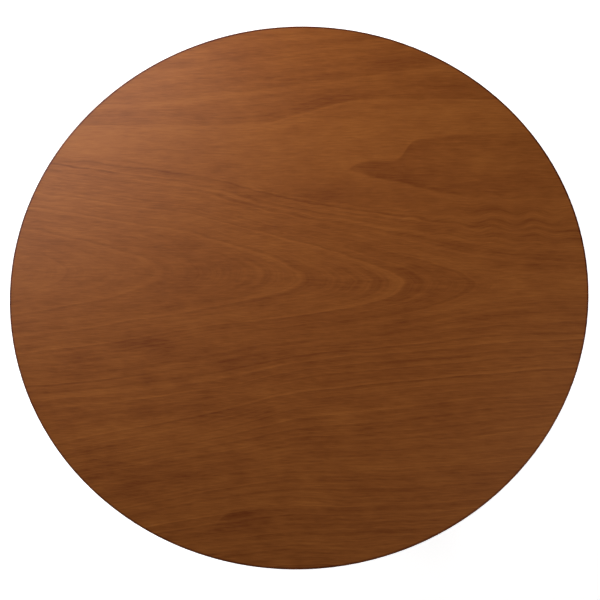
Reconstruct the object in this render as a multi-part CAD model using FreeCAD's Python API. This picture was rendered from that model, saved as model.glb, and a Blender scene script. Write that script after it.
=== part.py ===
"""Tilt-top pedestal table: a round veneered top on two battens, hinged to a turned tripod pillar.

Frame: millimetres, +Z up, origin on the floor under the pillar's axis. The hinge axis lies along X,
near the front edge (-Y) of the block on the pillar. A sprung brass catch at the back edge (+Y)
holds the top level. With the catch drawn, the back of the top lifts and the top turns a quarter
turn to hang upright at the front, its underside against the block's front edge.
"""

import FreeCAD
import Part

import math
import os

from FreeCAD import Vector

# ---- Driving dimensions ----
TOP_DIAMETER = 762.0
TABLE_HEIGHT = 710.0
TOP_THICKNESS = 20.0
LEG_COUNT = 3
FOOT_RADIUS = 312.0  # pillar axis to the middle of each glide
PILLAR_FOOT_Z = 100.0  # underside of the pillar and of the legs beside it
CATCH_TRAVEL = 4.8

# ---- Top ----
TOP_RADIUS = TOP_DIAMETER / 2
VENEER = 0.7
EDGE_HEIGHT = 5.0  # upright rim that is left above the bevel
BEVEL_WIDTH = 36.0
ARRIS = 1.2
LIPPING_WIDTH = 42.0
LIPPING_PIECES = 8
UNDERSIDE_Z = TABLE_HEIGHT - TOP_THICKNESS
FLAT_RADIUS = TOP_RADIUS - BEVEL_WIDTH
CORE_RADIUS = TOP_RADIUS - LIPPING_WIDTH

# ---- Hinge block: the hinge axis is centred in its rounded front edge ----
TOP_GAP = 0.4  # block to the top's underside, level and upright alike
BLOCK_WIDTH = 130.0
BLOCK_DEPTH = 130.0
BLOCK_THICKNESS = 36.0
BLOCK_CHAMFER = 5.0
BLOCK_CORNER = 6.0
BLOCK_TOP_Z = UNDERSIDE_Z - TOP_GAP
BLOCK_FOOT_Z = BLOCK_TOP_Z - BLOCK_THICKNESS
HINGE_DROP = 16.0  # hinge axis below the top's underside
HINGE_Z = UNDERSIDE_Z - HINGE_DROP
BLOCK_ROUND = HINGE_DROP - TOP_GAP
HINGE_Y = -BLOCK_DEPTH / 2 + BLOCK_ROUND

# ---- Pivots ----
PIVOT_RADIUS = 4.0
PIVOT_PLAY = 0.05
BUSH_RADIUS = 6.5
PIVOT_THREAD_RADIUS = 3.0
PIVOT_THREAD_LENGTH = 24.0
PIVOT_HEAD_RADIUS = 8.0
PIVOT_HEAD_HEIGHT = 4.5
WASHER_RADIUS = 10.0
WASHER_THICKNESS = 1.1
SIDE_PLAY = 0.4  # batten to washer, and batten to pivot head

# ---- Battens ----
BATTEN_WIDTH = 24.0
BATTEN_HEIGHT = 30.0
BATTEN_LENGTH = 520.0
BATTEN_TAPER_LENGTH = 78.0
BATTEN_END_HEIGHT = 12.0
BATTEN_ROUND = 3.5
BATTEN_X = BLOCK_WIDTH / 2 + WASHER_THICKNESS + SIDE_PLAY + BATTEN_WIDTH / 2
BATTEN_SCREW_Y = (-215.0, -125.0, 125.0, 215.0)
BATTEN_SCREW_Z = UNDERSIDE_Z - 18.0
BATTEN_SCREW_LENGTH = 32.0
BATTEN_SCREW_HEAD = 4.6
BATTEN_SCREW_SHANK = 2.2
COUNTERBORE_RADIUS = 5.2

# ---- Pillar ----
DRUM_RADIUS = 48.0
DRUM_TOP_Z = PILLAR_FOOT_Z + 144.0
SEAT_RADIUS = 42.0
SEAT_THICKNESS = 9.0
TENON_RADIUS = 20.0
WEDGE_DEPTH = 28.0
WEDGE_TOP_WIDTH = 3.0
WEDGE_FOOT_WIDTH = 1.0

# ---- Legs: one at the back, two at the front ----
LEG_NAMES = ("rear", "front_left", "front_right")
LEG_AZIMUTHS = [90.0 + index * 360.0 / LEG_COUNT for index in range(LEG_COUNT)]
LEG_THICKNESS = 30.0
LEG_ROUND = 7.0
LEG_FLAT_RADIUS = 45.5  # flat on the drum that the leg's shoulder meets
LEG_SHOULDER_TOP_Z = PILLAR_FOOT_Z + 132.0
TOE_RADIUS = 10.5
LEG_LEDGE_RADIUS = 86.0  # end of the leg's level underside
DOVETAIL_DEPTH = 14.0
DOVETAIL_NECK = 14.0
DOVETAIL_ROOT = 20.0
DOVETAIL_TOP_Z = PILLAR_FOOT_Z + 122.0

# ---- Glides and spider ----
GLIDE_RADIUS = 12.0
GLIDE_HEIGHT = 5.0
GLIDE_ROUND = 1.5
NAIL_RADIUS = 1.2
NAIL_HEAD_RADIUS = 3.5
NAIL_HEAD_HEIGHT = 1.0
NAIL_RECESS = 1.4
NAIL_LENGTH = 19.0
SPIDER_THICKNESS = 2.5
SPIDER_ARM_WIDTH = 20.0
SPIDER_REACH = 80.0
SPIDER_HUB_RADIUS = 30.0
SPIDER_ARM_SCREW_RADIUS = 66.0
SPIDER_HUB_SCREW_RADIUS = 20.0
SPIDER_SCREW_HEAD = 4.2
SPIDER_SCREW_SHANK = 2.0
SPIDER_SCREW_LENGTH = 24.0

# ---- Catch, under the top behind the block; heights are below the top's underside ----
CATCH_FRONT_Y = 72.0
CATCH_BACK_Y = 136.0
CATCH_PLATE_THICKNESS = 2.0
CATCH_PLATE_HALF_WIDTH = 22.0
CASE_FRONT_Y = 78.0
CASE_BACK_Y = 128.0
CASE_HALF_WIDTH = 13.0
CASE_DROP = 15.7
CASE_END_WALL = 3.0
CASE_FRONT_WALL = 2.0
CASE_FLOOR = 2.0
CASE_ROUND = 2.0
BOLT_PLAY = 0.2
BOLT_HALF_WIDTH = 8.0
TONGUE_HALF_WIDTH = 7.5
TONGUE_HEIGHT = 8.0
TONGUE_TIP_Y = 66.3  # with the bolt drawn back
TONGUE_BEVEL = 6.0
BOLT_STEP_Y = CASE_FRONT_Y + CASE_FRONT_WALL + CATCH_TRAVEL
BOLT_TAIL_Y = BOLT_STEP_Y + 22.0
KNOB_Y = BOLT_STEP_Y + 11.0
KNOB_STEM_RADIUS = 2.5
KNOB_STEM_SEAT = 6.0
KNOB_RADIUS = 7.0
KNOB_DROP = 20.0
PLATE_FACE_Z = UNDERSIDE_Z - CATCH_PLATE_THICKNESS
CASE_FOOT_Z = UNDERSIDE_Z - CASE_DROP
CHANNEL_FLOOR_Z = CASE_FOOT_Z + CASE_FLOOR
BOLT_FOOT_Z = CHANNEL_FLOOR_Z + BOLT_PLAY
TONGUE_TOP_Z = BOLT_FOOT_Z + TONGUE_HEIGHT
CATCH_SCREW_HEAD = 3.2
CATCH_SCREW_SHANK = 1.5
CATCH_SCREW_LENGTH = 14.0
SPRING_COIL_RADIUS = 3.6
SPRING_WIRE_RADIUS = 0.5
SPRING_TURNS = 7
STRIKE_HALF_WIDTH = 21.0
STRIKE_HEIGHT = 25.0
STRIKE_THICKNESS = 1.5
STRIKE_SCREW_X = 14.5
STRIKE_PLAY = 0.3
MORTISE_DEPTH = 9.0

UP = Vector(0, 0, 1)
CENTRE = Vector(0, 0, 0)


# ---- Helpers ----
def block_between(x0, x1, y0, y1, z0, z1):
    """A rectangular block between two corners."""
    return Part.makeBox(x1 - x0, y1 - y0, z1 - z0, Vector(x0, y0, z0))


def rod(radius, start, direction, length):
    """A round rod from a start point along a direction."""
    return Part.makeCylinder(radius, length, start, direction)


def turned(edges):
    """A solid turned about the Z axis from edges in the XZ plane that start on the axis."""
    first = edges[0].firstVertex(True).Point
    last = edges[-1].lastVertex(True).Point
    outline = list(edges)
    if last.x > 0:
        outline.append(line(last.x, last.z, 0, last.z))
    outline.append(line(0, last.z, 0, first.z))
    return Part.Face(Part.Wire(outline)).revolve(CENTRE, UP, 360)


def line(r0, z0, r1, z1):
    """A straight edge in the XZ plane."""
    return Part.LineSegment(Vector(r0, 0, z0), Vector(r1, 0, z1)).toShape()


def arc(r0, z0, r1, z1, r2, z2):
    """An arc in the XZ plane through three points."""
    return Part.Arc(Vector(r0, 0, z0), Vector(r1, 0, z1), Vector(r2, 0, z2)).toShape()


def spline(points, start_direction=None, end_direction=None):
    """A smooth edge in the XZ plane through points, with set directions at its ends."""
    curve = Part.BSplineCurve()
    places = [Vector(r, 0, z) for r, z in points]
    if start_direction is None:
        curve.interpolate(places)
    else:
        start = Vector(start_direction[0], 0, start_direction[1])
        end = Vector(end_direction[0], 0, end_direction[1])
        curve.interpolate(Points=places, InitialTangent=start, FinalTangent=end)
    return curve.toShape()


def polygon_prism(points, direction):
    """A prism from a closed polygon of points, pushed along a direction."""
    return Part.Face(Part.makePolygon([*points, points[0]])).extrude(direction)


def turned_about_z(shape, azimuth):
    """A copy of a shape turned about the Z axis, in degrees."""
    copy = shape.copy()
    copy.rotate(CENTRE, UP, azimuth)
    return copy


def fused(shapes):
    """One solid from shapes that touch or overlap."""
    return shapes[0].fuse(shapes[1:]).removeSplitter()


def cut(shape, tools):
    """A shape with each tool cut out of it."""
    return shape.cut(tools) if tools else shape


def group(solids):
    """Separate solids that share one node."""
    return Part.makeCompound(solids)


def rounded(shape, radius, chosen):
    """A shape with a round on each edge that the chosen test accepts."""
    return shape.makeFillet(radius, [edge for edge in shape.Edges if chosen(edge)])


def screw(head_radius, shank_radius, length, place, drive):
    """A slotted countersunk screw with its head's flat at a place, driven along a direction.

    Returns the screw and the hole that it fills.
    """
    head_height = head_radius - shank_radius
    point_length = 2 * shank_radius
    shank_length = length - head_height - point_length
    head = Part.makeCone(shank_radius, head_radius, head_height, Vector(0, 0, -head_height))
    shank = rod(shank_radius, Vector(0, 0, -length + point_length), UP, shank_length)
    point = Part.makeCone(0, shank_radius, point_length, Vector(0, 0, -length))
    hole = head.fuse([shank, point]).removeSplitter()
    slot_half = 0.16 * head_radius
    slot = block_between(-head_radius, head_radius, -slot_half, slot_half, -0.3 * head_radius, 1)
    turn = FreeCAD.Rotation(Vector(0, 0, -1), drive)
    placement = FreeCAD.Placement(place, turn)
    solid = hole.cut(slot)
    solid.Placement = placement
    hole.Placement = placement
    return solid, hole


# ---- Top ----
def top_outline():
    """The whole top as one solid: flat face, low rim and a bevel running in underneath."""
    edge_foot_z = TABLE_HEIGHT - EDGE_HEIGHT
    solid = turned(
        [
            line(0, UNDERSIDE_Z, FLAT_RADIUS, UNDERSIDE_Z),
            line(FLAT_RADIUS, UNDERSIDE_Z, TOP_RADIUS, edge_foot_z),
            line(TOP_RADIUS, edge_foot_z, TOP_RADIUS, TABLE_HEIGHT),
            line(TOP_RADIUS, TABLE_HEIGHT, 0, TABLE_HEIGHT),
        ]
    )

    def on_rim(edge):
        box = edge.BoundBox
        return box.XMax > TOP_RADIUS - 0.1 and box.ZLength < 0.1

    return rounded(solid, ARRIS, on_rim)


def layer(solid, low, high):
    """The part of a solid between two heights."""
    reach = TOP_RADIUS + 10
    return solid.common(block_between(-reach, reach, -reach, reach, low, high))


def top_layers(screw_holes):
    """Face veneer, core, segmented lipping and back veneer."""
    outline = top_outline()
    core_low = UNDERSIDE_Z + VENEER
    core_high = TABLE_HEIGHT - VENEER
    middle = layer(outline, core_low, core_high)
    core_disc = Part.makeCylinder(CORE_RADIUS, TOP_THICKNESS, Vector(0, 0, UNDERSIDE_Z))
    ring = middle.cut(core_disc)
    step = 2 * math.pi / LIPPING_PIECES
    reach = TOP_RADIUS / math.cos(step / 2) + 5
    segments = []
    for index in range(LIPPING_PIECES):
        sides = [(index - 0.5) * step, (index + 0.5) * step]
        corners = [Vector(0, 0, UNDERSIDE_Z)]
        corners += [
            Vector(reach * math.cos(side), reach * math.sin(side), UNDERSIDE_Z) for side in sides
        ]
        segments.append(ring.common(polygon_prism(corners, UP * TOP_THICKNESS)))
    return {
        "face_veneer": layer(outline, core_high, TABLE_HEIGHT),
        "top_core": cut(middle.common(core_disc), screw_holes),
        "edge_lipping": group(segments),
        "back_veneer": cut(layer(outline, UNDERSIDE_Z, core_low), screw_holes),
    }


def batten(side):
    """A batten with tapered ends, bored for the pivot bush."""
    half_length = BATTEN_LENGTH / 2
    low_z = UNDERSIDE_Z - BATTEN_HEIGHT
    end_z = UNDERSIDE_Z - BATTEN_END_HEIGHT
    taper_y = half_length - BATTEN_TAPER_LENGTH
    inner_x = side * BATTEN_X - BATTEN_WIDTH / 2
    outline = [
        Vector(inner_x, -half_length, UNDERSIDE_Z),
        Vector(inner_x, -half_length, end_z),
        Vector(inner_x, -taper_y, low_z),
        Vector(inner_x, taper_y, low_z),
        Vector(inner_x, half_length, end_z),
        Vector(inner_x, half_length, UNDERSIDE_Z),
    ]
    solid = polygon_prism(outline, Vector(BATTEN_WIDTH, 0, 0))

    def lower_long(edge):
        box = edge.BoundBox
        return box.XLength < 0.1 and box.YLength > 1 and box.ZMax < UNDERSIDE_Z - 1

    solid = rounded(solid, BATTEN_ROUND, lower_long)
    bores = [rod(BUSH_RADIUS, Vector(inner_x, HINGE_Y, HINGE_Z), Vector(1, 0, 0), BATTEN_WIDTH)]
    for y in BATTEN_SCREW_Y:
        start = Vector(side * BATTEN_X, y, low_z)
        bores.append(rod(COUNTERBORE_RADIUS, start, UP, BATTEN_SCREW_Z - low_z))
    return cut(solid, bores)


def batten_screw_set():
    """The screws that hold both battens to the top, and their holes."""
    pairs = [
        screw(
            BATTEN_SCREW_HEAD,
            BATTEN_SCREW_SHANK,
            BATTEN_SCREW_LENGTH,
            Vector(side * BATTEN_X, y, BATTEN_SCREW_Z),
            UP,
        )
        for side in (-1, 1)
        for y in BATTEN_SCREW_Y
    ]
    return [pair[0] for pair in pairs], [pair[1] for pair in pairs]


# ---- Pivots ----
def pivot_bush(side):
    """A brass bush pressed into a batten, a running fit on the pivot screw."""
    start = Vector(side * BATTEN_X - BATTEN_WIDTH / 2, HINGE_Y, HINGE_Z)
    along = Vector(1, 0, 0)
    outer = rod(BUSH_RADIUS, start, along, BATTEN_WIDTH)
    return outer.cut(rod(PIVOT_RADIUS + PIVOT_PLAY, start, along, BATTEN_WIDTH))


def pivot_screw(side):
    """A shouldered screw: slotted head outside the batten, smooth shoulder, thread in the block."""
    out = Vector(side, 0, 0)
    block_face = Vector(side * BLOCK_WIDTH / 2, HINGE_Y, HINGE_Z)
    shoulder_length = WASHER_THICKNESS + 2 * SIDE_PLAY + BATTEN_WIDTH
    head_start = block_face + out * shoulder_length
    thread = rod(PIVOT_THREAD_RADIUS, block_face, out * -1, PIVOT_THREAD_LENGTH)
    shoulder = rod(PIVOT_RADIUS, block_face, out, shoulder_length)
    head = rod(PIVOT_HEAD_RADIUS, head_start, out, PIVOT_HEAD_HEIGHT)
    outer_x = side * (abs(head_start.x) + PIVOT_HEAD_HEIGHT)

    def outer_rim(edge):
        box = edge.BoundBox
        return box.XLength < 0.1 and abs(box.XMax - outer_x) < 0.1

    head = rounded(head, 1.5, outer_rim)
    slot = block_between(-1.5, 1.5, -0.9, 0.9, -PIVOT_HEAD_RADIUS, PIVOT_HEAD_RADIUS)
    slot.translate(Vector(outer_x, HINGE_Y, HINGE_Z))
    return fused([thread, shoulder, head]).cut(slot)


def pivot_washer(side):
    """A thrust washer between the block and a batten."""
    out = Vector(side, 0, 0)
    start = Vector(side * BLOCK_WIDTH / 2, HINGE_Y, HINGE_Z)
    ring = rod(WASHER_RADIUS, start, out, WASHER_THICKNESS)
    return ring.cut(rod(PIVOT_RADIUS + PIVOT_PLAY, start, out, WASHER_THICKNESS))


# ---- Hinge block and strike ----
def pivot_block(strike_tools):
    """The block on the tenon: front edge rounded about the hinge axis, lower edges chamfered."""
    half_width = BLOCK_WIDTH / 2
    half_depth = BLOCK_DEPTH / 2
    start = -half_width
    round_45 = BLOCK_ROUND * math.sqrt(0.5)
    front = [
        Part.Arc(
            Vector(start, -half_depth, HINGE_Z),
            Vector(start, HINGE_Y - round_45, HINGE_Z + round_45),
            Vector(start, HINGE_Y, BLOCK_TOP_Z),
        ).toShape()
    ]
    corners = [
        Vector(start, HINGE_Y, BLOCK_TOP_Z),
        Vector(start, half_depth, BLOCK_TOP_Z),
        Vector(start, half_depth, BLOCK_FOOT_Z),
        Vector(start, -half_depth, BLOCK_FOOT_Z),
        Vector(start, -half_depth, HINGE_Z),
    ]
    sides = [Part.LineSegment(a, b).toShape() for a, b in zip(corners, corners[1:])]
    solid = Part.Face(Part.Wire(front + sides)).extrude(Vector(BLOCK_WIDTH, 0, 0))

    def rear_upright(edge):
        box = edge.BoundBox
        return box.XLength < 0.1 and box.YLength < 0.1 and box.YMin > half_depth - 0.1

    solid = rounded(solid, BLOCK_CORNER, rear_upright)
    lower = [edge for edge in solid.Edges if edge.BoundBox.ZMax < BLOCK_FOOT_Z + 0.1]
    solid = solid.makeChamfer(BLOCK_CHAMFER, lower)
    tools = [rod(TENON_RADIUS, Vector(0, 0, BLOCK_FOOT_Z - 1), UP, BLOCK_THICKNESS + 2)]
    for side in (-1, 1):
        face = Vector(side * half_width, HINGE_Y, HINGE_Z)
        tools.append(rod(PIVOT_THREAD_RADIUS, face, Vector(-side, 0, 0), PIVOT_THREAD_LENGTH))
    return cut(solid, tools + strike_tools)


def strike_parts():
    """The strike plate let into the block's back edge, its screws, and their cuts in the block."""
    face_y = BLOCK_DEPTH / 2
    plate_body = block_between(
        -STRIKE_HALF_WIDTH,
        STRIKE_HALF_WIDTH,
        face_y - STRIKE_THICKNESS,
        face_y,
        BLOCK_TOP_Z - STRIKE_HEIGHT,
        BLOCK_TOP_Z,
    )
    slot_half = TONGUE_HALF_WIDTH + STRIKE_PLAY
    mortise = block_between(
        -slot_half,
        slot_half,
        face_y - MORTISE_DEPTH,
        face_y,
        BOLT_FOOT_Z - STRIKE_PLAY,
        TONGUE_TOP_Z + STRIKE_PLAY,
    )
    middle_z = (BOLT_FOOT_Z + TONGUE_TOP_Z) / 2
    pairs = [
        screw(
            CATCH_SCREW_HEAD,
            CATCH_SCREW_SHANK,
            CATCH_SCREW_LENGTH,
            Vector(x, face_y, middle_z),
            Vector(0, -1, 0),
        )
        for x in (-STRIKE_SCREW_X, STRIKE_SCREW_X)
    ]
    holes = [pair[1] for pair in pairs]
    plate = cut(plate_body, [mortise, *holes])
    return plate, [pair[0] for pair in pairs], [plate_body, mortise, *holes]


# ---- Catch ----
def catch_screw_set():
    """The screws at the corners of the catch plate, and their holes."""
    middle_x = (CASE_HALF_WIDTH + CATCH_PLATE_HALF_WIDTH) / 2
    inset = 7.0
    pairs = [
        screw(
            CATCH_SCREW_HEAD,
            CATCH_SCREW_SHANK,
            CATCH_SCREW_LENGTH,
            Vector(x, y, PLATE_FACE_Z),
            UP,
        )
        for x in (-middle_x, middle_x)
        for y in (CATCH_FRONT_Y + inset, CATCH_BACK_Y - inset)
    ]
    return [pair[0] for pair in pairs], [pair[1] for pair in pairs]


def catch_plate(screw_holes):
    """The flat brass plate screwed under the top."""
    plate = block_between(
        -CATCH_PLATE_HALF_WIDTH,
        CATCH_PLATE_HALF_WIDTH,
        CATCH_FRONT_Y,
        CATCH_BACK_Y,
        PLATE_FACE_Z,
        UNDERSIDE_Z,
    )
    plate = rounded(plate, 3.0, lambda edge: edge.BoundBox.ZLength > 1)
    return cut(plate, screw_holes)


def catch_case():
    """The bolt's brass case: shut at the back, a mouth for the tongue, a slot for the knob."""
    case = block_between(
        -CASE_HALF_WIDTH, CASE_HALF_WIDTH, CASE_FRONT_Y, CASE_BACK_Y, CASE_FOOT_Z, PLATE_FACE_Z
    )
    case = rounded(case, CASE_ROUND, lambda edge: edge.BoundBox.ZMax < PLATE_FACE_Z - 0.1)
    channel_half = BOLT_HALF_WIDTH + BOLT_PLAY
    channel = block_between(
        -channel_half,
        channel_half,
        CASE_FRONT_Y + CASE_FRONT_WALL,
        CASE_BACK_Y - CASE_END_WALL,
        CHANNEL_FLOOR_Z,
        PLATE_FACE_Z,
    )
    mouth_half = TONGUE_HALF_WIDTH + BOLT_PLAY
    mouth = block_between(
        -mouth_half,
        mouth_half,
        CASE_FRONT_Y - 1,
        CASE_FRONT_Y + CASE_FRONT_WALL,
        CHANNEL_FLOOR_Z,
        TONGUE_TOP_Z + BOLT_PLAY,
    )
    slot_half = KNOB_STEM_RADIUS + 0.3
    slot = block_between(
        -slot_half, slot_half, KNOB_Y - CATCH_TRAVEL, KNOB_Y, CASE_FOOT_Z - 1, CHANNEL_FLOOR_Z
    )
    ends = [
        rod(slot_half, Vector(0, y, CASE_FOOT_Z - 1), UP, CASE_FLOOR + 1)
        for y in (KNOB_Y - CATCH_TRAVEL, KNOB_Y)
    ]
    return cut(case, [channel, mouth, slot, *ends])


def catch_bolt():
    """The bolt drawn back: a thick body in the case and a bevelled tongue towards the block."""
    body = block_between(
        -BOLT_HALF_WIDTH,
        BOLT_HALF_WIDTH,
        BOLT_STEP_Y,
        BOLT_TAIL_Y,
        BOLT_FOOT_Z,
        PLATE_FACE_Z - BOLT_PLAY,
    )
    tongue_side = [
        Vector(-TONGUE_HALF_WIDTH, BOLT_STEP_Y, BOLT_FOOT_Z),
        Vector(-TONGUE_HALF_WIDTH, BOLT_STEP_Y, TONGUE_TOP_Z),
        Vector(-TONGUE_HALF_WIDTH, TONGUE_TIP_Y, TONGUE_TOP_Z),
        Vector(-TONGUE_HALF_WIDTH, TONGUE_TIP_Y, BOLT_FOOT_Z + TONGUE_BEVEL),
        Vector(-TONGUE_HALF_WIDTH, TONGUE_TIP_Y + TONGUE_BEVEL, BOLT_FOOT_Z),
    ]
    tongue = polygon_prism(tongue_side, Vector(2 * TONGUE_HALF_WIDTH, 0, 0))
    seat = rod(KNOB_STEM_RADIUS, Vector(0, KNOB_Y, BOLT_FOOT_Z), UP, KNOB_STEM_SEAT)
    return cut(fused([body, tongue]), [seat])


def catch_knob():
    """The small turned knob under the case, its stem screwed into the bolt."""
    foot_z = CASE_FOOT_Z - KNOB_DROP
    waist_z = foot_z + 0.55 * KNOB_DROP
    edges = [
        arc(0, foot_z, 0.72 * KNOB_RADIUS, foot_z + 1.3, KNOB_RADIUS, foot_z + 4.2),
        arc(
            KNOB_RADIUS,
            foot_z + 4.2,
            0.86 * KNOB_RADIUS,
            foot_z + 6.6,
            0.55 * KNOB_RADIUS,
            foot_z + 7.8,
        ),
        line(0.55 * KNOB_RADIUS, foot_z + 7.8, KNOB_STEM_RADIUS, waist_z),
        line(KNOB_STEM_RADIUS, waist_z, KNOB_STEM_RADIUS, BOLT_FOOT_Z + KNOB_STEM_SEAT),
    ]
    knob = turned(edges)
    knob.translate(Vector(0, KNOB_Y, 0))
    return knob


def catch_spring():
    """The coil spring behind the bolt, as it stands with the bolt drawn back."""
    end_play = SPRING_WIRE_RADIUS + 0.2
    length = CASE_BACK_Y - CASE_END_WALL - BOLT_TAIL_Y - 2 * end_play
    helix = Part.makeHelix(length / SPRING_TURNS, length, SPRING_COIL_RADIUS)
    start = helix.Edges[0].firstVertex(True).Point
    direction = helix.Edges[0].tangentAt(helix.Edges[0].FirstParameter)
    section = Part.Wire(Part.makeCircle(SPRING_WIRE_RADIUS, start, direction))
    coil = Part.Wire(helix.Edges).makePipeShell([section], True, True)
    coil.rotate(CENTRE, Vector(1, 0, 0), -90)
    middle_z = (CHANNEL_FLOOR_Z + PLATE_FACE_Z) / 2
    coil.translate(Vector(0, BOLT_TAIL_Y + end_play, middle_z))
    return Part.Solid(coil) if coil.ShapeType != "Solid" else coil


# ---- Pillar ----
def tenon_wedge():
    """The wedge that spreads the pillar's tenon in the block, thin across X."""
    foot_z = BLOCK_TOP_Z - WEDGE_DEPTH
    side = [
        Vector(-WEDGE_TOP_WIDTH / 2, -TENON_RADIUS, BLOCK_TOP_Z),
        Vector(WEDGE_TOP_WIDTH / 2, -TENON_RADIUS, BLOCK_TOP_Z),
        Vector(WEDGE_FOOT_WIDTH / 2, -TENON_RADIUS, foot_z),
        Vector(-WEDGE_FOOT_WIDTH / 2, -TENON_RADIUS, foot_z),
    ]
    wedge = polygon_prism(side, Vector(0, 2 * TENON_RADIUS, 0))
    return wedge.common(rod(TENON_RADIUS, Vector(0, 0, foot_z), UP, WEDGE_DEPTH))


def pillar_turning():
    """The turned pillar: drum, bead, vase, long neck, ring, seat and tenon."""
    z = PILLAR_FOOT_Z
    drum = DRUM_RADIUS
    seat_z = BLOCK_FOOT_Z - SEAT_THICKNESS
    vase_foot_z = DRUM_TOP_Z + 36
    ring_z = seat_z - 46
    edges = [
        line(0, z, drum - 2, z),
        line(drum - 2, z, drum, z + 2),
        line(drum, z + 2, drum, DRUM_TOP_Z - 2),
        arc(drum, DRUM_TOP_Z - 2, drum - 0.6, DRUM_TOP_Z - 0.6, drum - 2, DRUM_TOP_Z),
        line(drum - 2, DRUM_TOP_Z, 43, DRUM_TOP_Z),
        arc(43, DRUM_TOP_Z, 49, DRUM_TOP_Z + 7, 43, DRUM_TOP_Z + 14),
        line(43, DRUM_TOP_Z + 14, 39, DRUM_TOP_Z + 14),
        line(39, DRUM_TOP_Z + 14, 39, DRUM_TOP_Z + 18),
        arc(39, DRUM_TOP_Z + 18, 31.5, DRUM_TOP_Z + 23, 28, vase_foot_z),
        spline(
            [
                (28, vase_foot_z),
                (40.5, vase_foot_z + 46),
                (32.5, vase_foot_z + 120),
                (22.5, ring_z - 52),
                (20.5, ring_z),
            ],
            (0.75, 0.66),
            (0.02, 1),
        ),
        line(20.5, ring_z, 23.5, ring_z),
        line(23.5, ring_z, 23.5, ring_z + 3),
        arc(23.5, ring_z + 3, 28.5, ring_z + 8, 23.5, ring_z + 13),
        line(23.5, ring_z + 13, 21.5, ring_z + 13),
        arc(21.5, ring_z + 13, 25, ring_z + 30, 36, seat_z - 4),
        line(36, seat_z - 4, 39, seat_z - 4),
        line(39, seat_z - 4, 39, seat_z),
        arc(
            39,
            seat_z,
            SEAT_RADIUS,
            seat_z + SEAT_THICKNESS / 2,
            39,
            BLOCK_FOOT_Z,
        ),
        line(39, BLOCK_FOOT_Z, TENON_RADIUS, BLOCK_FOOT_Z),
        line(TENON_RADIUS, BLOCK_FOOT_Z, TENON_RADIUS, BLOCK_TOP_Z),
        line(TENON_RADIUS, BLOCK_TOP_Z, 0, BLOCK_TOP_Z),
    ]
    return turned(edges)


def dovetail():
    """The sliding dovetail on a leg that points along +X: widest at its root, inside the pillar."""
    root_x = LEG_FLAT_RADIUS - DOVETAIL_DEPTH
    corners = [
        Vector(LEG_FLAT_RADIUS, -DOVETAIL_NECK / 2, PILLAR_FOOT_Z),
        Vector(root_x, -DOVETAIL_ROOT / 2, PILLAR_FOOT_Z),
        Vector(root_x, DOVETAIL_ROOT / 2, PILLAR_FOOT_Z),
        Vector(LEG_FLAT_RADIUS, DOVETAIL_NECK / 2, PILLAR_FOOT_Z),
    ]
    return polygon_prism(corners, UP * (DOVETAIL_TOP_Z - PILLAR_FOOT_Z))


def pillar(other_tools):
    """The pillar with a flat and a dovetail socket for each leg."""
    flat = block_between(
        LEG_FLAT_RADIUS,
        DRUM_RADIUS + 10,
        -LEG_THICKNESS,
        LEG_THICKNESS,
        PILLAR_FOOT_Z - 1,
        LEG_SHOULDER_TOP_Z,
    )
    seats = (flat, dovetail())
    tools = [turned_about_z(seat, azimuth) for azimuth in LEG_AZIMUTHS for seat in seats]
    return cut(pillar_turning(), tools + other_tools)


# ---- Legs and what is under them ----
def leg_along_x():
    """A leg that points along +X, sawn to an S-curve from a plank and rounded over."""
    foot_z = GLIDE_HEIGHT
    shoulder = LEG_FLAT_RADIUS
    top_z = LEG_SHOULDER_TOP_Z
    toe = FOOT_RADIUS + GLIDE_RADIUS + 2
    heel = FOOT_RADIUS - GLIDE_RADIUS - 3
    toe_top = foot_z + 2 * TOE_RADIUS
    upper = spline(
        [
            (shoulder, top_z),
            (100, top_z - 20),
            (158, top_z - 74),
            (210, top_z - 138),
            (FOOT_RADIUS - 40, toe_top + 12),
            (toe, toe_top),
        ],
        (1, -0.06),
        (1, -0.06),
    )
    toe_cap = arc(toe, toe_top, toe + TOE_RADIUS, foot_z + TOE_RADIUS, toe, foot_z)
    sole = line(toe, foot_z, heel, foot_z)
    lower = spline(
        [
            (heel, foot_z),
            (FOOT_RADIUS - 62, foot_z + 17),
            (202, foot_z + 58),
            (156, foot_z + 92),
            (116, foot_z + 103),
            (LEG_LEDGE_RADIUS, PILLAR_FOOT_Z),
        ],
        (-1, 0.12),
        (-1, -0.5),
    )
    ledge = line(LEG_LEDGE_RADIUS, PILLAR_FOOT_Z, shoulder, PILLAR_FOOT_Z)
    back = line(shoulder, PILLAR_FOOT_Z, shoulder, top_z)
    face = Part.Face(Part.Wire([upper, toe_cap, sole, lower, ledge, back]))
    face.translate(Vector(0, -LEG_THICKNESS / 2, 0))
    plank = face.extrude(Vector(0, LEG_THICKNESS, 0))

    def long_curve(edge):
        box = edge.BoundBox
        return box.YLength < 0.1 and box.XLength > 4 and box.ZLength > 4

    return rounded(plank, LEG_ROUND, long_curve).fuse(dovetail()).removeSplitter()


def glide_at(place):
    """A nylon glide under a foot, with a recess for its nail's head."""
    disc = rod(GLIDE_RADIUS, place, UP, GLIDE_HEIGHT)
    disc = rounded(disc, GLIDE_ROUND, lambda edge: edge.BoundBox.ZMax < 0.1)
    nail = nail_at(place)
    recess = rod(NAIL_HEAD_RADIUS, place, UP, NAIL_RECESS)
    return cut(disc, [nail, recess])


def nail_at(place):
    """The nail that holds a glide, its head inside the glide's recess."""
    head = rod(NAIL_HEAD_RADIUS, place + UP * NAIL_RECESS, UP, NAIL_HEAD_HEIGHT)
    shank = rod(NAIL_RADIUS, place + UP * NAIL_RECESS, UP, NAIL_LENGTH)
    return fused([head, shank])


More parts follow.
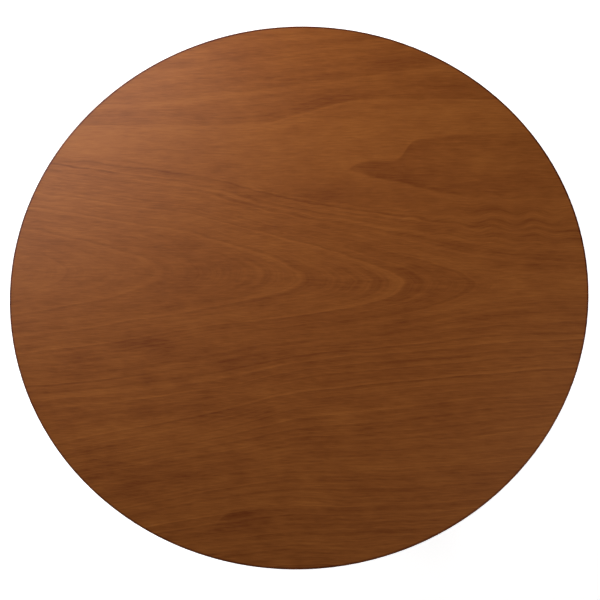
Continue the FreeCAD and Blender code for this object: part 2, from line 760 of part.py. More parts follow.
def spider_screw_set():
    """The screws up through the spider: one into each leg, and one into the pillar between legs."""
    face_z = PILLAR_FOOT_Z - SPIDER_THICKNESS
    between = 180.0 / LEG_COUNT
    places = []
    for azimuth in LEG_AZIMUTHS:
        for radius, turn in ((SPIDER_ARM_SCREW_RADIUS, 0), (SPIDER_HUB_SCREW_RADIUS, between)):
            angle = math.radians(azimuth + turn)
            places.append(Vector(radius * math.cos(angle), radius * math.sin(angle), face_z))
    pairs = [
        screw(SPIDER_SCREW_HEAD, SPIDER_SCREW_SHANK, SPIDER_SCREW_LENGTH, place, UP)
        for place in places
    ]
    return [pair[0] for pair in pairs], [pair[1] for pair in pairs]


def spider_plate(screw_holes):
    """The three-armed iron plate that ties the legs to the pillar from below."""
    low_z = PILLAR_FOOT_Z - SPIDER_THICKNESS
    half = SPIDER_ARM_WIDTH / 2
    straight = SPIDER_REACH - half
    shapes = [rod(SPIDER_HUB_RADIUS, Vector(0, 0, low_z), UP, SPIDER_THICKNESS)]
    for azimuth in LEG_AZIMUTHS:
        arm = block_between(0, straight, -half, half, low_z, PILLAR_FOOT_Z)
        end = rod(half, Vector(straight, 0, low_z), UP, SPIDER_THICKNESS)
        shapes += [turned_about_z(arm, azimuth), turned_about_z(end, azimuth)]
    return cut(fused(shapes), screw_holes)


# ---- Assembly ----
def build():
    """Every node's shape, by name."""
    batten_screws, batten_holes = batten_screw_set()
    catch_screws, catch_holes = catch_screw_set()
    spider_screws, spider_holes = spider_screw_set()
    strike, strike_screws, strike_tools = strike_parts()
    wedge = tenon_wedge()

    nodes = top_layers(batten_holes + catch_holes)
    for side, name in ((-1, "left"), (1, "right")):
        nodes[f"batten_{name}"] = cut(batten(side), batten_holes)
        nodes[f"pivot_bush_{name}"] = pivot_bush(side)
        nodes[f"pivot_screw_{name}"] = pivot_screw(side)
    nodes["batten_screws"] = group(batten_screws)
    nodes["pivot_washers"] = group([pivot_washer(side) for side in (-1, 1)])
    nodes["catch_plate"] = catch_plate(catch_holes)
    nodes["catch_screws"] = group(catch_screws)
    nodes["catch_case"] = catch_case()
    nodes["catch_bolt"] = catch_bolt()
    nodes["catch_knob"] = catch_knob()
    nodes["catch_spring"] = catch_spring()
    nodes["pivot_block"] = pivot_block(strike_tools)
    nodes["strike_plate"] = strike
    nodes["strike_screws"] = group(strike_screws)
    nodes["pillar"] = pillar([wedge, *spider_holes])
    nodes["tenon_wedge"] = wedge
    nodes["spider_plate"] = spider_plate(spider_holes)
    nodes["spider_screws"] = group(spider_screws)

    leg = leg_along_x()
    glide_place = Vector(FOOT_RADIUS, 0, 0)
    nails = []
    for name, azimuth in zip(LEG_NAMES, LEG_AZIMUTHS):
        nail = turned_about_z(nail_at(glide_place), azimuth)
        nodes[f"leg_{name}"] = cut(turned_about_z(leg, azimuth), [nail, *spider_holes])
        nodes[f"glide_{name}"] = turned_about_z(glide_at(glide_place), azimuth)
        nails.append(nail)
    nodes["glide_nails"] = group(nails)
    return nodes


def main():
    os.makedirs("parts", exist_ok=True)
    for name, shape in sorted(build().items()):
        if not shape.isValid():
            print("not valid:", name)
        print(f"{name}: {len(shape.Solids)} solid(s), {shape.Volume / 1000:.2f} cm3")
        shape.exportStep(f"parts/{name}.step")


main()
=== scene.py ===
"""Looks, light and camera for the tilt-top table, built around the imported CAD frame."""

import math

import bmesh
import bpy
from mathutils import Matrix, Vector


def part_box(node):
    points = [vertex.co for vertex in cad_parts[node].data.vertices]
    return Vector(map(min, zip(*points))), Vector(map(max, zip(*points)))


# ---- Camera ----
SENSOR_WIDTH = 36.0
LENS = 68.19
CAMERA_PLACE = Vector((0.0540, -0.5383, 2.1090))
CAMERA_AIM = Vector((0.0044, -0.0360, 0.7100))
CAMERA_ROLL = math.radians(-5.223)

# ---- Table facts that the materials use ----
CM = 100.0  # centimetres in a metre; the materials work in centimetres
LIPPING_PIECES = 8
LEG_AZIMUTHS = {
    "leg_rear": math.radians(90.0),
    "leg_front_left": math.radians(210.0),
    "leg_front_right": math.radians(330.0),
}
LEG_GRAIN_FALL = math.radians(36.0)  # how steeply the grain runs down a leg
RIM_START = 37.89  # from the axis to where the painted rim shade sets in

# ---- Stain: linear colours, and a tone that runs from the shade at 0 to the glow at 1 ----
STAIN_SHADE = (0.085, 0.0085, 0.0004)
STAIN_GLOW = (0.560, 0.1960, 0.0396)
FACE_TONE = 0.370
SOLID_TONE = 0.35
# The face's seeds set how strong each dark and each light ring mark is. They aren't arbitrary:
# a search picked them for the strengths that they give.
FACE_SEEDS = (1389612.0, 325849.0)
SOLID_SEEDS = (51.0, 907.0)
MARK_START = 0.045  # share of a ring over which a mark sets in

# ---- Finish ----
FACE_ROUGHNESS = 0.37
FACE_GLOSS = 0.12
FACE_RELIEF = 0.00007  # metres of bump
SOLID_ROUGHNESS = 0.40
SOLID_GLOSS = 0.3
SOLID_RELIEF = 0.00015
RIM_GLOSS = 0.1
METAL_RELIEF = 0.00003
NYLON_RELIEF = 0.00005
NOISE_SPREAD = 3.4  # brings noise about 0 to about -1 to 1

# ---- Studio ----
SWEEP_FLAT = 6.0  # metres
SWEEP_CURVE = 3.0
SWEEP_WALL = 8.0
SWEEP_STEPS = 12
SWEEP_SIDES = 96
FLOOR_FADE_RADIUS = 155.0  # centimetres
FLOOR_FADE_WIDTH = 25.0
FLOOR_GLOW_NEAR = 0.75
FLOOR_GLOW_FAR = 0.95
FLOOR_COLOUR_NEAR = (0.88, 0.88, 0.88)
FLOOR_COLOUR_FAR = (0.02, 0.02, 0.02)
WORLD_STRENGTH = 0.07
TOP_MIDDLE = (0.0, 0.0, 0.71)
WAIST = (0.0, 0.0, 0.42)
SOFT_LIGHTS = (
    # name, place, aim, size, watts
    ("key", (-0.648, 0.741, 1.30), TOP_MIDDLE, (0.83, 0.83), 16.0),
    ("fill", (0.607, -0.216, 1.20), TOP_MIDDLE, (0.80, 0.80), 1.55),
    # these stay below the level top, so they light only what is under it
    ("low_left", (-1.9, -1.5, 0.42), WAIST, (1.4, 0.5), 13.0),
    ("low_right", (1.9, -1.2, 0.42), WAIST, (1.4, 0.5), 7.0),
    ("low_back", (0.4, 2.2, 0.42), WAIST, (1.4, 0.5), 9.0),
    ("floor_bounce", (0.0, 0.0, 0.004), (0.0, 0.001, 1.0), (2.6, 2.6), 5.0),
)


# ---- Arithmetic on node sockets ----
class Num:
    """A number that a material's nodes work out. Arithmetic on it adds Math nodes."""

    def __init__(self, tree, socket):
        self.tree = tree
        self.socket = socket

    def op(self, operation, *others, clamp=False):
        return math_node(self.tree, operation, self, *others, clamp=clamp)

    def __add__(self, other):
        return self.op("ADD", other)

    __radd__ = __add__

    def __mul__(self, other):
        return self.op("MULTIPLY", other)

    __rmul__ = __mul__

    def __sub__(self, other):
        return self.op("SUBTRACT", other)

    def __rsub__(self, other):
        return math_node(self.tree, "SUBTRACT", other, self)

    def __truediv__(self, other):
        return self.op("DIVIDE", other)

    def __neg__(self):
        return self * -1.0


def math_node(tree, operation, *inputs, clamp=False):
    """Adds a Math node on Nums or constants and returns its result."""
    node = tree.nodes.new("ShaderNodeMath")
    node.operation = operation
    node.use_clamp = clamp
    for socket, value in zip(node.inputs, inputs):
        put(tree, value, socket)
    return Num(tree, node.outputs[0])


def put(tree, value, socket):
    """Links a Num or a socket to an input, or sets the input to a constant."""
    if isinstance(value, Num):
        tree.links.new(value.socket, socket)
    elif isinstance(value, bpy.types.NodeSocket):
        tree.links.new(value, socket)
    else:
        socket.default_value = value


def absolute(a):
    return a.op("ABSOLUTE")


def root(a):
    return a.op("SQRT")


def exp(a):
    return a.op("EXPONENT")


def sine(a):
    return a.op("SINE")


def least(a, b):
    return a.op("MINIMUM", b)


def most(a, b):
    return a.op("MAXIMUM", b)


def clamped(a):
    return a.op("ADD", 0.0, clamp=True)


def rise(a, centre, width):
    """From 0 to 1 as a passes the centre, softly over about the width each side."""
    return ((a - centre) / width).op("TANH") * 0.5 + 0.5


def hill(a, centre, width):
    """1 at the centre, falling away on both sides."""
    t = (a - centre) / width
    return exp(-(t * t))


def soft_most(a, b, softness):
    """The larger of two numbers, rounded where they cross."""
    difference = a - b
    return (a + b + root(difference * difference + softness * softness)) * 0.5


def between(a, b, share):
    """a where share is 0 and b where it is 1."""
    return a + (b - a) * share


# ---- Textures ----
class Maker:
    """Adds texture and colour nodes to one material."""

    def __init__(self, name):
        self.material = bpy.data.materials.new(name)
        self.material.use_nodes = True
        self.tree = self.material.node_tree
        self.shader = self.tree.nodes["Principled BSDF"]

    def position(self):
        """The object's own coordinates in centimetres, which are the row frame at rest."""
        node = self.tree.nodes.new("ShaderNodeTexCoord")
        split = self.tree.nodes.new("ShaderNodeSeparateXYZ")
        self.tree.links.new(node.outputs["Object"], split.inputs[0])
        return [Num(self.tree, socket) * CM for socket in split.outputs]

    def vector(self, x, y, z):
        """A place from three numbers."""
        node = self.tree.nodes.new("ShaderNodeCombineXYZ")
        for value, socket in zip((x, y, z), node.inputs):
            put(self.tree, value, socket)
        return node.outputs[0]

    def noise(self, place, detail=2.0, roughness=0.5):
        """Noise from about -1 to 1 with features about one unit across."""
        node = self.tree.nodes.new("ShaderNodeTexNoise")
        node.inputs["Scale"].default_value = 1.0
        node.inputs["Detail"].default_value = detail
        node.inputs["Roughness"].default_value = roughness
        self.tree.links.new(place, node.inputs["Vector"])
        return (Num(self.tree, node.outputs["Fac"]) - 0.5) * NOISE_SPREAD

    def chance(self, number):
        """A random value from 0 to 1 for each whole number."""
        node = self.tree.nodes.new("ShaderNodeTexWhiteNoise")
        node.noise_dimensions = "1D"
        put(self.tree, number, node.inputs["W"])
        return Num(self.tree, node.outputs["Value"])

    def mix(self, share, low, high):
        """A colour from low to high."""
        node = self.tree.nodes.new("ShaderNodeMix")
        node.data_type = "RGBA"
        put(self.tree, share, node.inputs["Factor"])
        for value, name in ((low, "A"), (high, "B")):
            socket = next(s for s in node.inputs if s.name == name and s.type == "RGBA")
            put(self.tree, (*value, 1.0) if isinstance(value, tuple) else value, socket)
        return next(s for s in node.outputs if s.type == "RGBA")

    def bump(self, height, distance):
        """Relief of the given depth in metres where height goes from 0 to 1."""
        node = self.tree.nodes.new("ShaderNodeBump")
        node.inputs["Distance"].default_value = distance
        node.inputs["Strength"].default_value = 1.0
        put(self.tree, height, node.inputs["Height"])
        self.tree.links.new(node.outputs[0], self.shader.inputs["Normal"])

    def finish(self, colour, roughness, **constants):
        """The material, with any other shader input set by its name in constants."""
        put(self.tree, colour, self.shader.inputs["Base Color"])
        put(self.tree, roughness, self.shader.inputs["Roughness"])
        for name, value in constants.items():
            self.shader.inputs[name.replace("_", " ")].default_value = value
        return self.material


# ---- Wood: lengths are in centimetres, weights are shares of the stain's whole range ----
def ring_marks(maker, rings, dark_width, light_width, seeds):
    """Marks along each whole level of a ring field: light just above it, dark just below."""
    whole = rings.op("FLOOR")
    over = rings - whole
    under = 1.0 - over
    dark_chance = maker.chance(whole + (1.0 + seeds[0]))
    light_chance = maker.chance(whole + seeds[1])
    dark = (exp(-(under / dark_width)) - exp(-(under / MARK_START))) * dark_chance * dark_chance
    light = (exp(-(over / light_width)) - exp(-(over / MARK_START))) * light_chance * light_chance
    return dark, light


def fibre(maker, along, across, depth):
    """Streaks, fine threads and short pores that run with the grain."""
    long_place = maker.vector(along * 0.08, across * 1.7, depth)
    fine_place = maker.vector(along * 0.40, across * 4.4, depth)
    short_place = maker.vector(along * 2.2, across * 26.0, depth)
    streaks = maker.noise(long_place, detail=3.0, roughness=0.65)
    threads = maker.noise(fine_place, detail=2.0, roughness=0.75)
    pores = maker.noise(short_place, detail=1.0)
    return streaks, threads, clamped((pores - 0.35) * 1.4)


FIGURE_SPOTS = (
    # x, y, half length, half width in centimetres, darkness
    (2.0, 26.0, 6.5, 1.9, 0.75),
    (20.0, 28.2, 4.5, 1.5, 0.5),
    (12.7, 33.6, 3.0, 2.0, 0.5),
    (-31.3, 4.2, 3.2, 1.1, 0.7),
    (3.0, -1.4, 4.5, 1.2, 0.75),
    (-5.0, -4.0, 3.0, 0.9, 0.5),
    (-20.7, -9.7, 4.5, 0.8, 0.8),
    (-10.5, -18.6, 4.0, 1.2, 0.6),
    (13.0, -6.8, 3.0, 1.4, 0.6),
    (15.6, 0.3, 2.4, 0.8, 0.7),
    (17.6, -2.6, 1.2, 1.2, 0.6),
    (2.0, 11.3, 5.0, 1.1, 0.5),
    (31.5, 1.0, 2.2, 1.4, 0.6),
    (-20.0, -27.3, 5.0, 1.6, 0.7),
    (-4.5, -33.0, 3.0, 1.3, 0.7),
    (2.5, -23.4, 3.4, 1.0, 0.4),
    (-20.0, -21.3, 4.5, 1.3, -0.6),
    (-9.3, -22.7, 3.4, 1.2, -0.6),
    (5.5, -19.3, 3.6, 1.4, -0.7),
    (-3.0, 16.5, 4.0, 3.0, -0.4),
    (28.0, -9.0, 5.0, 1.6, -0.4),
    (-25.0, -16.0, 5.0, 1.5, -0.4),
    (0.0, -11.5, 26.0, 7.0, 0.38),
    (-8.0, 32.5, 5.0, 3.0, 0.6),
    (-16.0, 0.5, 4.5, 3.0, 0.5),
    (-30.0, 8.0, 3.5, 4.0, -0.3),
    (31.0, -16.0, 4.0, 6.0, -0.3),
    (4.0, 20.0, 12.0, 2.5, -0.35),
)


def spots(x, y):
    """Soft dark and light patches."""
    total = None
    for place_x, place_y, length, width, darkness in FIGURE_SPOTS:
        patch = hill(x, place_x, length) * hill(y, place_y, width) * darkness
        total = patch if total is None else total + patch
    return total


def arches(x, y):
    """Ring levels of the nested arches along the middle and of the straighter rings below."""
    middle = (x / 10.0).op("TANH") * -0.8 - 0.6
    away = y - middle
    below = most(-away, 0.0)
    near = hill(below, 0.0, 12.0)
    crown = soft_most((26.0 - x) / 6.3, 0.0, 0.9) + 4.0
    bend = hill(x, -14.0, 6.0) * 0.4 + rise(x, 8.0, 5.0) * 0.7
    height = between(8.1, crown, near) + bend * rise(away, 5.5, 1.5)
    step = ((x + 4.0) / 7.0).op("TANH") * hill(y, -16.0, 7.0) * 1.9
    slope = x * 0.07 + least(x, 0.0) * rise(-y, 20.0, 3.0) * 0.13
    away = away - (slope + step) * (1.0 - hill(below, 0.0, 8.0))
    return height - (root(away * away + 27.0) - 5.2)


def shelf_rings(x, y):
    """Slow ring levels of the upper part, whole on a shelf line that steps up to the right."""
    shelf = ((x - 1.0) / 5.5).op("TANH") * 2.05 + 24.2
    above = y - shelf
    above = above - (x * 0.14 + 24.0 - shelf) * rise(above, 2.5, 1.0)
    slope = exp(-(x + 25.0) / 40.0) * 0.24
    below = least(above, 0.0)
    under = (1.0 - exp(below / 0.45)) * 0.25 + (1.0 - exp(below * slope)) * 0.25
    return under - (1.0 - exp(-(most(above, 0.0) / 0.3))) * 0.12 - most(above, 0.0) * 0.191


def tongue_depth(x, y):
    """How far inside the pointed tongue on the right a place is, negative outside it."""
    start = most(x - 6.7, 0.0)
    upper = (1.0 - exp(-(start / 1.6))) * 1.5 + rise(x, 14.7, 1.0) * 3.1 + rise(x, 20.5, 3.0) * 0.9
    lower = (1.0 - exp(-(start / 3.5))) * 1.2 + rise(x, 15.5, 4.0) * 2.7 + rise(x, 25.0, 3.0) * 0.3
    inside = least(15.2 + upper - y, y - (15.2 - lower))
    return least(inside, (x - 6.6) * 0.8)


def hook_depth(x, y):
    """How far inside the blunt hook at the front edge a place is, negative outside it."""
    start = most(x + 9.9, 0.0)
    top = (1.0 - exp(-(start / 1.3))) * 3.0 - 33.7 + rise(x, 15.0, 6.0) * 3.4
    return least(top - y, (x + 9.9) * 1.2)


def wavy_bands(x, y):
    """Dark bands, which the ripple makes wavy, above the arches on the right."""
    reach = hill(x, 28.0, 8.5)
    bands = hill(y, 9.0, 0.45) * 0.075 + hill(y, 7.2, 0.5) * 0.07 - hill(y, 8.1, 0.3) * 0.05
    return reach * bands


def edge_marks(depth, halo, shade):
    """A light halo outside an outline and a shade that fades inwards from it."""
    outside = exp(least(depth, 0.0) / halo) * rise(-depth, 0.0, 0.16)
    inside = exp(-(most(depth, 0.0) / shade)) * rise(depth, 0.0, 0.16)
    return outside, inside


def rim_painted_shade(x, y):
    """Painted shade along the rim, 0 to 1, reaching a little further in at the back and half as
    strong along the front edge.
    """
    back = rise(y, 6.0, 20.0)
    reach = root(x * x + y * y) + back * 0.08
    return rise(reach, RIM_START, 0.035) * (rise(y, -10.0, 12.0) * 0.5 + 0.5)


def veneer_tone(maker, x, y):
    """How light the figured veneer is, with its threads and its pores."""
    drift = maker.noise(maker.vector(x * 0.055, y * 0.16, 3.0), detail=2.0)
    shiver = maker.noise(maker.vector(x * 0.22, y * 0.7, 8.0), detail=2.0, roughness=0.5)
    ripple = sine(x * 1.15 + drift * 0.6) * hill(x, 29.0, 9.0) * hill(y, 7.5, 3.0)
    v = y + drift * 0.35 + shiver * 0.14 + ripple * 0.38
    u = x + shiver * 0.4

    arched = arches(u, v)
    rings = between(arched, soft_most(arched, shelf_rings(u, v), 0.3), rise(y, 3.0, 1.2))
    dark, light = ring_marks(maker, rings, 0.22, 0.16, FACE_SEEDS)
    tongue = tongue_depth(u, v)
    hook = hook_depth(u, v)
    halo_a, shade_a = edge_marks(tongue, 0.7, 1.6)
    halo_b, shade_b = edge_marks(hook, 0.5, 1.8)
    in_tongue = rise(tongue, 0.0, 0.25)

    # marks fade in and out along their length, and lines follow the rings between them
    fading = maker.noise(maker.vector(x * 0.10, rings * 0.5, 1.0), detail=2.0)
    strength = clamped(fading * 0.30 + 0.80)
    lines = maker.noise(maker.vector(x * 0.022, rings * 2.6, 4.0), detail=4.0, roughness=0.82)
    dark = dark * (1.0 - hill(rings, 0.0, 0.4) * 0.65)

    # areas of the face with a character of their own
    bundle = hill(rings, 1.8, 1.8) * rise(y, 2.0, 2.0)
    cloudy = (1.0 - rise(x, 4.0, 8.0)) * rise(-y, 6.0, 6.0)
    plain = rise(y, 12.0, 2.0)
    left = rise(-x, 12.0, 3.0) * hill(y, 0.0, 4.5)
    hook_reach = (1.0 - rise(x, 14.0, 5.0)) * rise(y, -33.0, 0.9)
    calm = 1.0 - left * 0.6

    streaks, threads, pores = fibre(maker, x, v, 0.0)
    blotch = maker.noise(maker.vector(x * 0.19, v * 0.40, 5.0), detail=3.0, roughness=0.6)
    tone = (
        FACE_TONE
        + (light * 0.27 - dark * 0.17) * strength * calm * (1.0 - in_tongue)
        + (halo_a * 0.09 - shade_a * 0.10) * (1.0 - rise(x, 21.0, 5.0) * 0.6)
        + (halo_b * 0.07 - shade_b * 0.07) * hook_reach
        - wavy_bands(x, v)
        + lines * calm * (bundle * 0.075 - plain * 0.02 + 0.140)
        + streaks * (plain * 0.02 + 0.035)
        + threads * 0.105
        - pores * 0.07
        + blotch * (cloudy * 0.05 - plain * 0.01 + 0.06)
        - spots(x, v) * 0.10
        # painted shade along the outer edge of the face
        - rim_painted_shade(x, y) * 0.35
    )
    return clamped(tone), threads, pores


def face_veneer_material():
    """Stained, figured veneer under a satin finish."""
    maker = Maker("figured_veneer")
    x, y, z = maker.position()
    tone, threads, pores = veneer_tone(maker, x, y)
    colour = maker.mix(tone, STAIN_SHADE, STAIN_GLOW)
    maker.bump(threads * 0.3 - pores, FACE_RELIEF)
    roughness = FACE_ROUGHNESS + threads * 0.012 + pores * 0.05
    return maker.finish(colour, roughness, Specular_IOR_Level=FACE_GLOSS)


def solid_wood_material(name, frame_of, age=None, tint=1.0, gloss=SOLID_GLOSS):
    """Solid stained wood of the same kind as the veneer.

    frame_of gives (along, across, depth) of the grain from a place, and age gives how worn it is
    there and how much painted shade it has.
    """
    maker = Maker(name)
    x, y, z = maker.position()
    along, across, depth = frame_of(x, y, z)
    wander = maker.noise(maker.vector(along * 0.06, across * 0.3, depth * 0.3), detail=2.0)
    side = (across + 3.0) * 0.7
    face = depth - 7.0
    rings = root(side * side + face * face) * 2.0 + wander * 1.3 + along * 0.02
    dark, light = ring_marks(maker, rings, 0.30, 0.18, SOLID_SEEDS)
    lines = maker.noise(maker.vector(along * 0.06, rings * 2.2, 4.0), detail=3.0, roughness=0.75)
    streaks, threads, pores = fibre(maker, along, across, depth)
    blotch = maker.noise(
        maker.vector(along * 0.16, across * 0.4, depth * 0.4), detail=3.0, roughness=0.6
    )
    tone = (
        SOLID_TONE
        + light * 0.17
        - dark * 0.22
        + lines * 0.095
        + streaks * 0.060
        + threads * 0.080
        - pores * 0.11
        + blotch * 0.060
    )
    roughness = SOLID_ROUGHNESS + threads * 0.015 + pores * 0.06
    if age:
        worn, painted_shade = age(maker, x, y, z)
        # the second value from age is painted shade, which darkens the wood
        tone = tone + worn * 0.36 - painted_shade * 0.30
        roughness = roughness - worn * 0.07 + painted_shade * 0.16
    shade = tuple(c * tint for c in STAIN_SHADE)
    glow = tuple(c * tint for c in STAIN_GLOW)
    colour = maker.mix(clamped(tone), shade, glow)
    maker.bump(threads * 0.3 - pores, SOLID_RELIEF)
    return maker.finish(colour, roughness, Specular_IOR_Level=gloss)


def rubbed(maker, x, y, z):
    """Patchy rubbing, 0 to 1."""
    patches = maker.noise(maker.vector(x * 1.1, y * 1.1, z * 1.1), detail=3.0, roughness=0.6)
    return clamped(patches * 0.5 + 0.45)


def turned_wear_and_shade(maker, x, y, z):
    """Wear on the crests of the pillar's mouldings, and painted shade in its quirks and at its
    foot.
    """
    patches = rubbed(maker, x, y, z)
    crests = hill(z, 25.1, 0.35) + hill(z, 60.8, 0.25) + hill(z, 33.0, 4.0) * 0.3
    # painted shade in the quirks and on the pillar's foot below 10.8 cm
    quirks = hill(z, 24.3, 0.16) + hill(z, 26.2, 0.3) + hill(z, 60.0, 0.16) + hill(z, 61.9, 0.2)
    foot = rise(-z, -10.8, 0.6)
    return crests * patches, clamped(quirks + foot * 0.5) * (patches * 0.5 + 0.5)


def leg_wear_and_shade(maker, x, y, z):
    """Scuffed toes, with painted shade where each leg meets the pillar."""
    patches = rubbed(maker, x, y, z)
    reach = root(x * x + y * y)
    toe = rise(reach, 31.5, 1.2) * rise(-z, -3.4, 0.6)
    # painted shade where the leg meets the pillar
    shoulder = hill(reach, 4.5, 0.5)
    return toe * patches, shoulder * (patches * 0.5 + 0.5)


def rim_wear_and_shade(maker, x, y, z):
    """Painted shade makes the rim darker than the face, and the rim is rubbed in places along its
    foot.
    """
    patches = rubbed(maker, x, y, z)
    # painted shade along the rim, returned as the second value
    rim = rim_painted_shade(x, y)
    foot = rim * hill(z, 70.5, 0.07)
    return foot * patches * 0.5, rim * 1.15


def edge_age(low, high):
    """Wear along the long edges of a piece that fills the box from low to high."""
    lows = [v * CM for v in low]
    highs = [v * CM for v in high]

    def age(maker, x, y, z):
        patches = rubbed(maker, x, y, z)
        worn = exp(-(edge_gap([x, y, z], lows, highs) / 0.15))
        return worn * patches, 0.0

    return age


def edge_gap(place, lows, highs):
    """Distance from a point on a box's skin to its nearest edge: the middle one of three gaps."""
    gaps = [least(absolute(p - a), absolute(p - b)) for p, a, b in zip(place, lows, highs)]
    smallest = least(least(gaps[0], gaps[1]), gaps[2])
    largest = most(most(gaps[0], gaps[1]), gaps[2])
    return gaps[0] + gaps[1] + gaps[2] - smallest - largest


def grain_up(x, y, z):
    """Grain along Z."""
    return z, x, y


def grain_across(x, y, z):
    """Grain along X."""
    return x, y, z


def grain_deep(x, y, z):
    """Grain along Y."""
    return y, x, z


def leg_grain(azimuth):
    """Grain that slopes down and out along a leg sawn from a plank."""

    def frame_of(x, y, z):
        out = x * math.cos(azimuth) + y * math.sin(azimuth)
        side = y * math.cos(azimuth) - x * math.sin(azimuth)
        along = out * math.cos(LEG_GRAIN_FALL) - z * math.sin(LEG_GRAIN_FALL)
        across = out * math.sin(LEG_GRAIN_FALL) + z * math.cos(LEG_GRAIN_FALL)
        return along, across, side

    return frame_of


def lipping_grain(x, y, z):
    """Grain along the chord of each lipping segment, with its own stretch of grain."""
    turn = 2 * math.pi / LIPPING_PIECES
    angle = y.op("ARCTAN2", x)
    segment = (angle / turn + 0.5).op("FLOOR")
    middle = segment * turn
    cosine = middle.op("COSINE")
    sinus = sine(middle)
    out = x * cosine + y * sinus
    along = y * cosine - x * sinus
    apart = 31.7
    return along + segment * apart, out, z


# ---- Metal and nylon ----
def metal(name, colour, dull, roughness, metallic=1.0):
    """Metal with tarnish in patches and fine rubbing marks."""
    maker = Maker(name)
    x, y, z = maker.position()
    tarnish = maker.noise(maker.vector(x * 0.9, y * 0.9, z * 0.9), detail=4.0, roughness=0.65)
    specks = maker.noise(maker.vector(x * 9.0, y * 9.0, z * 9.0), detail=2.0)
    rubs = maker.noise(maker.vector(x * 3.0, y * 40.0, z * 40.0), detail=1.0)
    share = clamped(tarnish * 0.35 + specks * 0.12 + 0.35)
    mixed = maker.mix(share, colour, dull)
    maker.bump(rubs * 0.5 + specks * 0.5, METAL_RELIEF)
    rough = roughness + share * 0.12 + rubs * 0.024
    return maker.finish(mixed, rough, Metallic=metallic)


def nylon(name):
    """Brown nylon, paler where its sole is scuffed."""
    maker = Maker(name)
    x, y, z = maker.position()
    scuff = maker.noise(maker.vector(x * 4.0, y * 4.0, z * 4.0), detail=4.0, roughness=0.7)
    worn = clamped(scuff * 0.4 + 0.2 - z * 0.8)
    colour = maker.mix(worn, (0.045, 0.028, 0.018), (0.14, 0.10, 0.075))
    maker.bump(scuff, NYLON_RELIEF)
    return maker.finish(colour, 0.5 + scuff * 0.06)


# ---- Dressing the CAD nodes ----
def dress(node, material):
    """Gives a CAD node one material."""
    data = node.data
    data.materials.clear()
    data.materials.append(material)


def dress_all(nodes):
    """Gives every CAD node its material."""
    upright = solid_wood_material("stained_wood_upright", grain_up, turned_wear_and_shade)
    lipping = solid_wood_material("stained_wood_lipping", lipping_grain, rim_wear_and_shade, gloss=RIM_GLOSS)
    brass = metal("aged_brass", (0.38, 0.235, 0.075), (0.10, 0.058, 0.022), 0.30)
    brass_screw = metal("aged_brass_screw", (0.50, 0.33, 0.12), (0.20, 0.12, 0.045), 0.24)
    steel = metal("steel_screw", (0.42, 0.40, 0.37), (0.16, 0.14, 0.12), 0.36)
    wire = metal("spring_wire", (0.62, 0.62, 0.60), (0.35, 0.33, 0.30), 0.25)
    iron = metal("black_iron", (0.030, 0.027, 0.025), (0.012, 0.010, 0.009), 0.48, metallic=0.6)
    glide = nylon("nylon_glide")
    by_node = {
        "face_veneer": face_veneer_material(),
        "edge_lipping": lipping,
        "back_veneer": solid_wood_material("backing_veneer", grain_across, tint=0.9),
        "top_core": solid_wood_material("core_board", grain_across),
        "pillar": upright,
        "tenon_wedge": solid_wood_material("wedge_wood", grain_deep),
        "spider_plate": iron,
        "catch_spring": wire,
    }
    for name, grain in (
        ("batten_left", grain_deep),
        ("batten_right", grain_deep),
        ("pivot_block", grain_across),
    ):
        by_node[name] = solid_wood_material("stained_" + name, grain, edge_age(*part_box(name)))
    for name, azimuth in LEG_AZIMUTHS.items():
        by_node[name] = solid_wood_material("stained_" + name, leg_grain(azimuth), leg_wear_and_shade)
    for name, node in nodes.items():
        if name in by_node:
            material = by_node[name]
        elif name.startswith("glide_") and name != "glide_nails":
            material = glide
        elif name in ("catch_screws", "strike_screws"):
            material = brass_screw
        elif "screw" in name or name == "glide_nails":
            material = steel
        else:
            material = brass
        dress(node, material)


# ---- Stage ----
def sweep_outline():
    """Radius and height down the studio sweep: a flat floor that curves up into a wall."""
    outline = [(0.0, 0.0), (SWEEP_FLAT, 0.0)]
    for step in range(1, SWEEP_STEPS + 1):
        angle = math.pi / 2 * step / SWEEP_STEPS
        radius = SWEEP_FLAT + SWEEP_CURVE * math.sin(angle)
        outline.append((radius, SWEEP_CURVE * (1.0 - math.cos(angle))))
    outline.append((SWEEP_FLAT + SWEEP_CURVE, SWEEP_WALL))
    return outline


def floor():
    """A pale floor and its wall. Only the camera sees it, so its glow doesn't light the table."""
    outline = sweep_outline()
    sides = SWEEP_SIDES
    points = []
    faces = []
    for radius, height in outline:
        for side in range(sides):
            angle = 2 * math.pi * side / sides
            points.append((radius * math.cos(angle), radius * math.sin(angle), height))
    for ring in range(len(outline) - 1):
        for side in range(sides):
            after = (side + 1) % sides
            low, high = ring * sides, (ring + 1) * sides
            faces.append((low + side, low + after, high + after, high + side)[::-1])
    data = bpy.data.meshes.new("floor")
    data.from_pydata(points, [], faces)
    merge_points(data)
    data.polygons.foreach_set("use_smooth", [True] * len(data.polygons))
    piece = bpy.data.objects.new("floor", data)
    bpy.context.scene.collection.objects.link(piece)
    piece.visible_diffuse = False
    piece.visible_glossy = False
    piece.visible_transmission = False

    data.materials.append(floor_material())


def floor_material():
    """Lit near the table, where it takes soft shadows, and evenly white further off."""
    maker = Maker("pale_floor")
    x, y, z = maker.position()
    far = rise(root(x * x + y * y), FLOOR_FADE_RADIUS, FLOOR_FADE_WIDTH)
    glow = between(FLOOR_GLOW_NEAR, FLOOR_GLOW_FAR, far)
    maker.shader.inputs["Specular IOR Level"].default_value = 0.1
    maker.shader.inputs["Emission Color"].default_value = (1.0, 1.0, 1.0, 1.0)
    put(maker.tree, glow, maker.shader.inputs["Emission Strength"])
    colour = maker.mix(far, FLOOR_COLOUR_NEAR, FLOOR_COLOUR_FAR)
    return maker.finish(colour, 0.9)


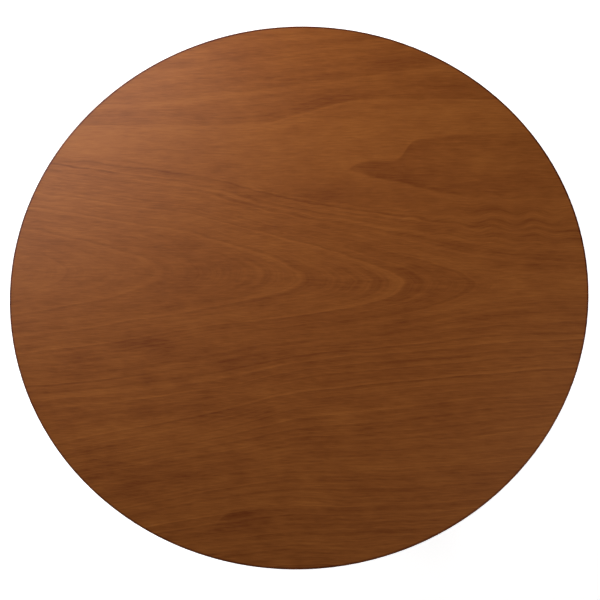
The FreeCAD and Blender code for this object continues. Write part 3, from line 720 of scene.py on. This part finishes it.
def merge_points(data):
    """Joins the points that lie together at the middle of the floor."""
    mesh = bmesh.new()
    mesh.from_mesh(data)
    bmesh.ops.remove_doubles(mesh, verts=mesh.verts, dist=0.001)
    mesh.to_mesh(data)
    mesh.free()


def soft_light(name, place, aim, size, watts):
    """A rectangular soft light that the camera doesn't see."""
    data = bpy.data.lights.new(name, "AREA")
    data.shape = "RECTANGLE"
    data.size, data.size_y = size
    data.energy = watts
    piece = bpy.data.objects.new(name, data)
    piece.location = place
    piece.rotation_euler = (Vector(aim) - Vector(place)).to_track_quat("-Z", "Y").to_euler()
    piece.visible_camera = False
    bpy.context.scene.collection.objects.link(piece)


def surroundings():
    """Dim grey light from all round."""
    world = bpy.data.worlds.new("studio")
    world.use_nodes = True
    shader = world.node_tree.nodes["Background"]
    shader.inputs["Color"].default_value = (1.0, 1.0, 1.0, 1.0)
    shader.inputs["Strength"].default_value = WORLD_STRENGTH
    bpy.context.scene.world = world


def camera():
    """The camera, steeply above the top and a little to the front."""
    data = bpy.data.cameras.new("camera")
    data.sensor_width = SENSOR_WIDTH
    data.lens = LENS
    piece = bpy.data.objects.new("camera", data)
    bpy.context.scene.collection.objects.link(piece)
    piece.location = CAMERA_PLACE
    look = (CAMERA_AIM - CAMERA_PLACE).to_track_quat("-Z", "Y").to_matrix()
    piece.rotation_euler = (look @ Matrix.Rotation(CAMERA_ROLL, 3, "Z")).to_euler()
    bpy.context.scene.camera = piece


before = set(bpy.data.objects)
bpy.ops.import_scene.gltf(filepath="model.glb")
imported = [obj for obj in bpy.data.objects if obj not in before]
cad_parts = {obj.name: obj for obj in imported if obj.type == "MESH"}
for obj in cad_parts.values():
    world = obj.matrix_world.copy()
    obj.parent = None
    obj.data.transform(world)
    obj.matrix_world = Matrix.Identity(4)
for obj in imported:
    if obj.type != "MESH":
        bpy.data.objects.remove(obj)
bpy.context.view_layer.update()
bpy.context.scene.view_settings.view_transform = "Standard"
dress_all(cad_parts)
floor()
for light in SOFT_LIGHTS:
    soft_light(*light)
surroundings()
camera()
